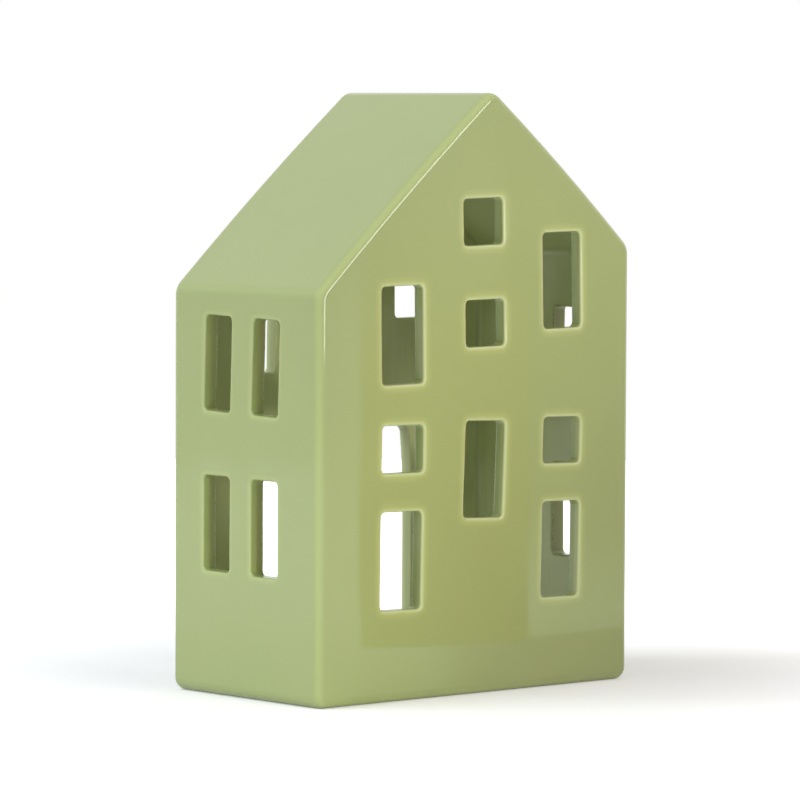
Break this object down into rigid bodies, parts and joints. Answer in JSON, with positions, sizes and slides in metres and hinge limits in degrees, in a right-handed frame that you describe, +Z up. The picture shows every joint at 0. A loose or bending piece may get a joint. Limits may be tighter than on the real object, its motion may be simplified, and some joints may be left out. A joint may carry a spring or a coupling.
{
  "type": "tealight house",
  "caption": "Hollow glazed ceramic gabled house with windows cut through its walls and a rear doorway, holding a slide-in tealight.",
  "frame": {"origin": "on the table, under the middle of the base", "axes": "+Z up, +Y from the gable front to the back wall with the doorway, +X to the right seen from the front"},
  "size_m": [0.118, 0.064, 0.1686],
  "materials": {
    "glaze": "glossy sage green glaze",
    "foil": "bright drawn foil",
    "wax": "white paraffin wax",
    "wick": "waxed braided cotton",
    "tinned_steel": "tinned sheet steel"
  },
  "bodies": {
    "house": {"house_shell": "glaze"},
    "tealight": {"tealight_cup": "foil", "tealight_wax": "wax", "tealight_wick": "wick", "wick_sustainer": "tinned_steel"}
  },
  "joints": [
    {"name": "tealight_slide", "type": "slide", "parent": "house", "child": "tealight", "axis": [0, 1, 0], "range_m": [0, 0.054]}
  ]
}
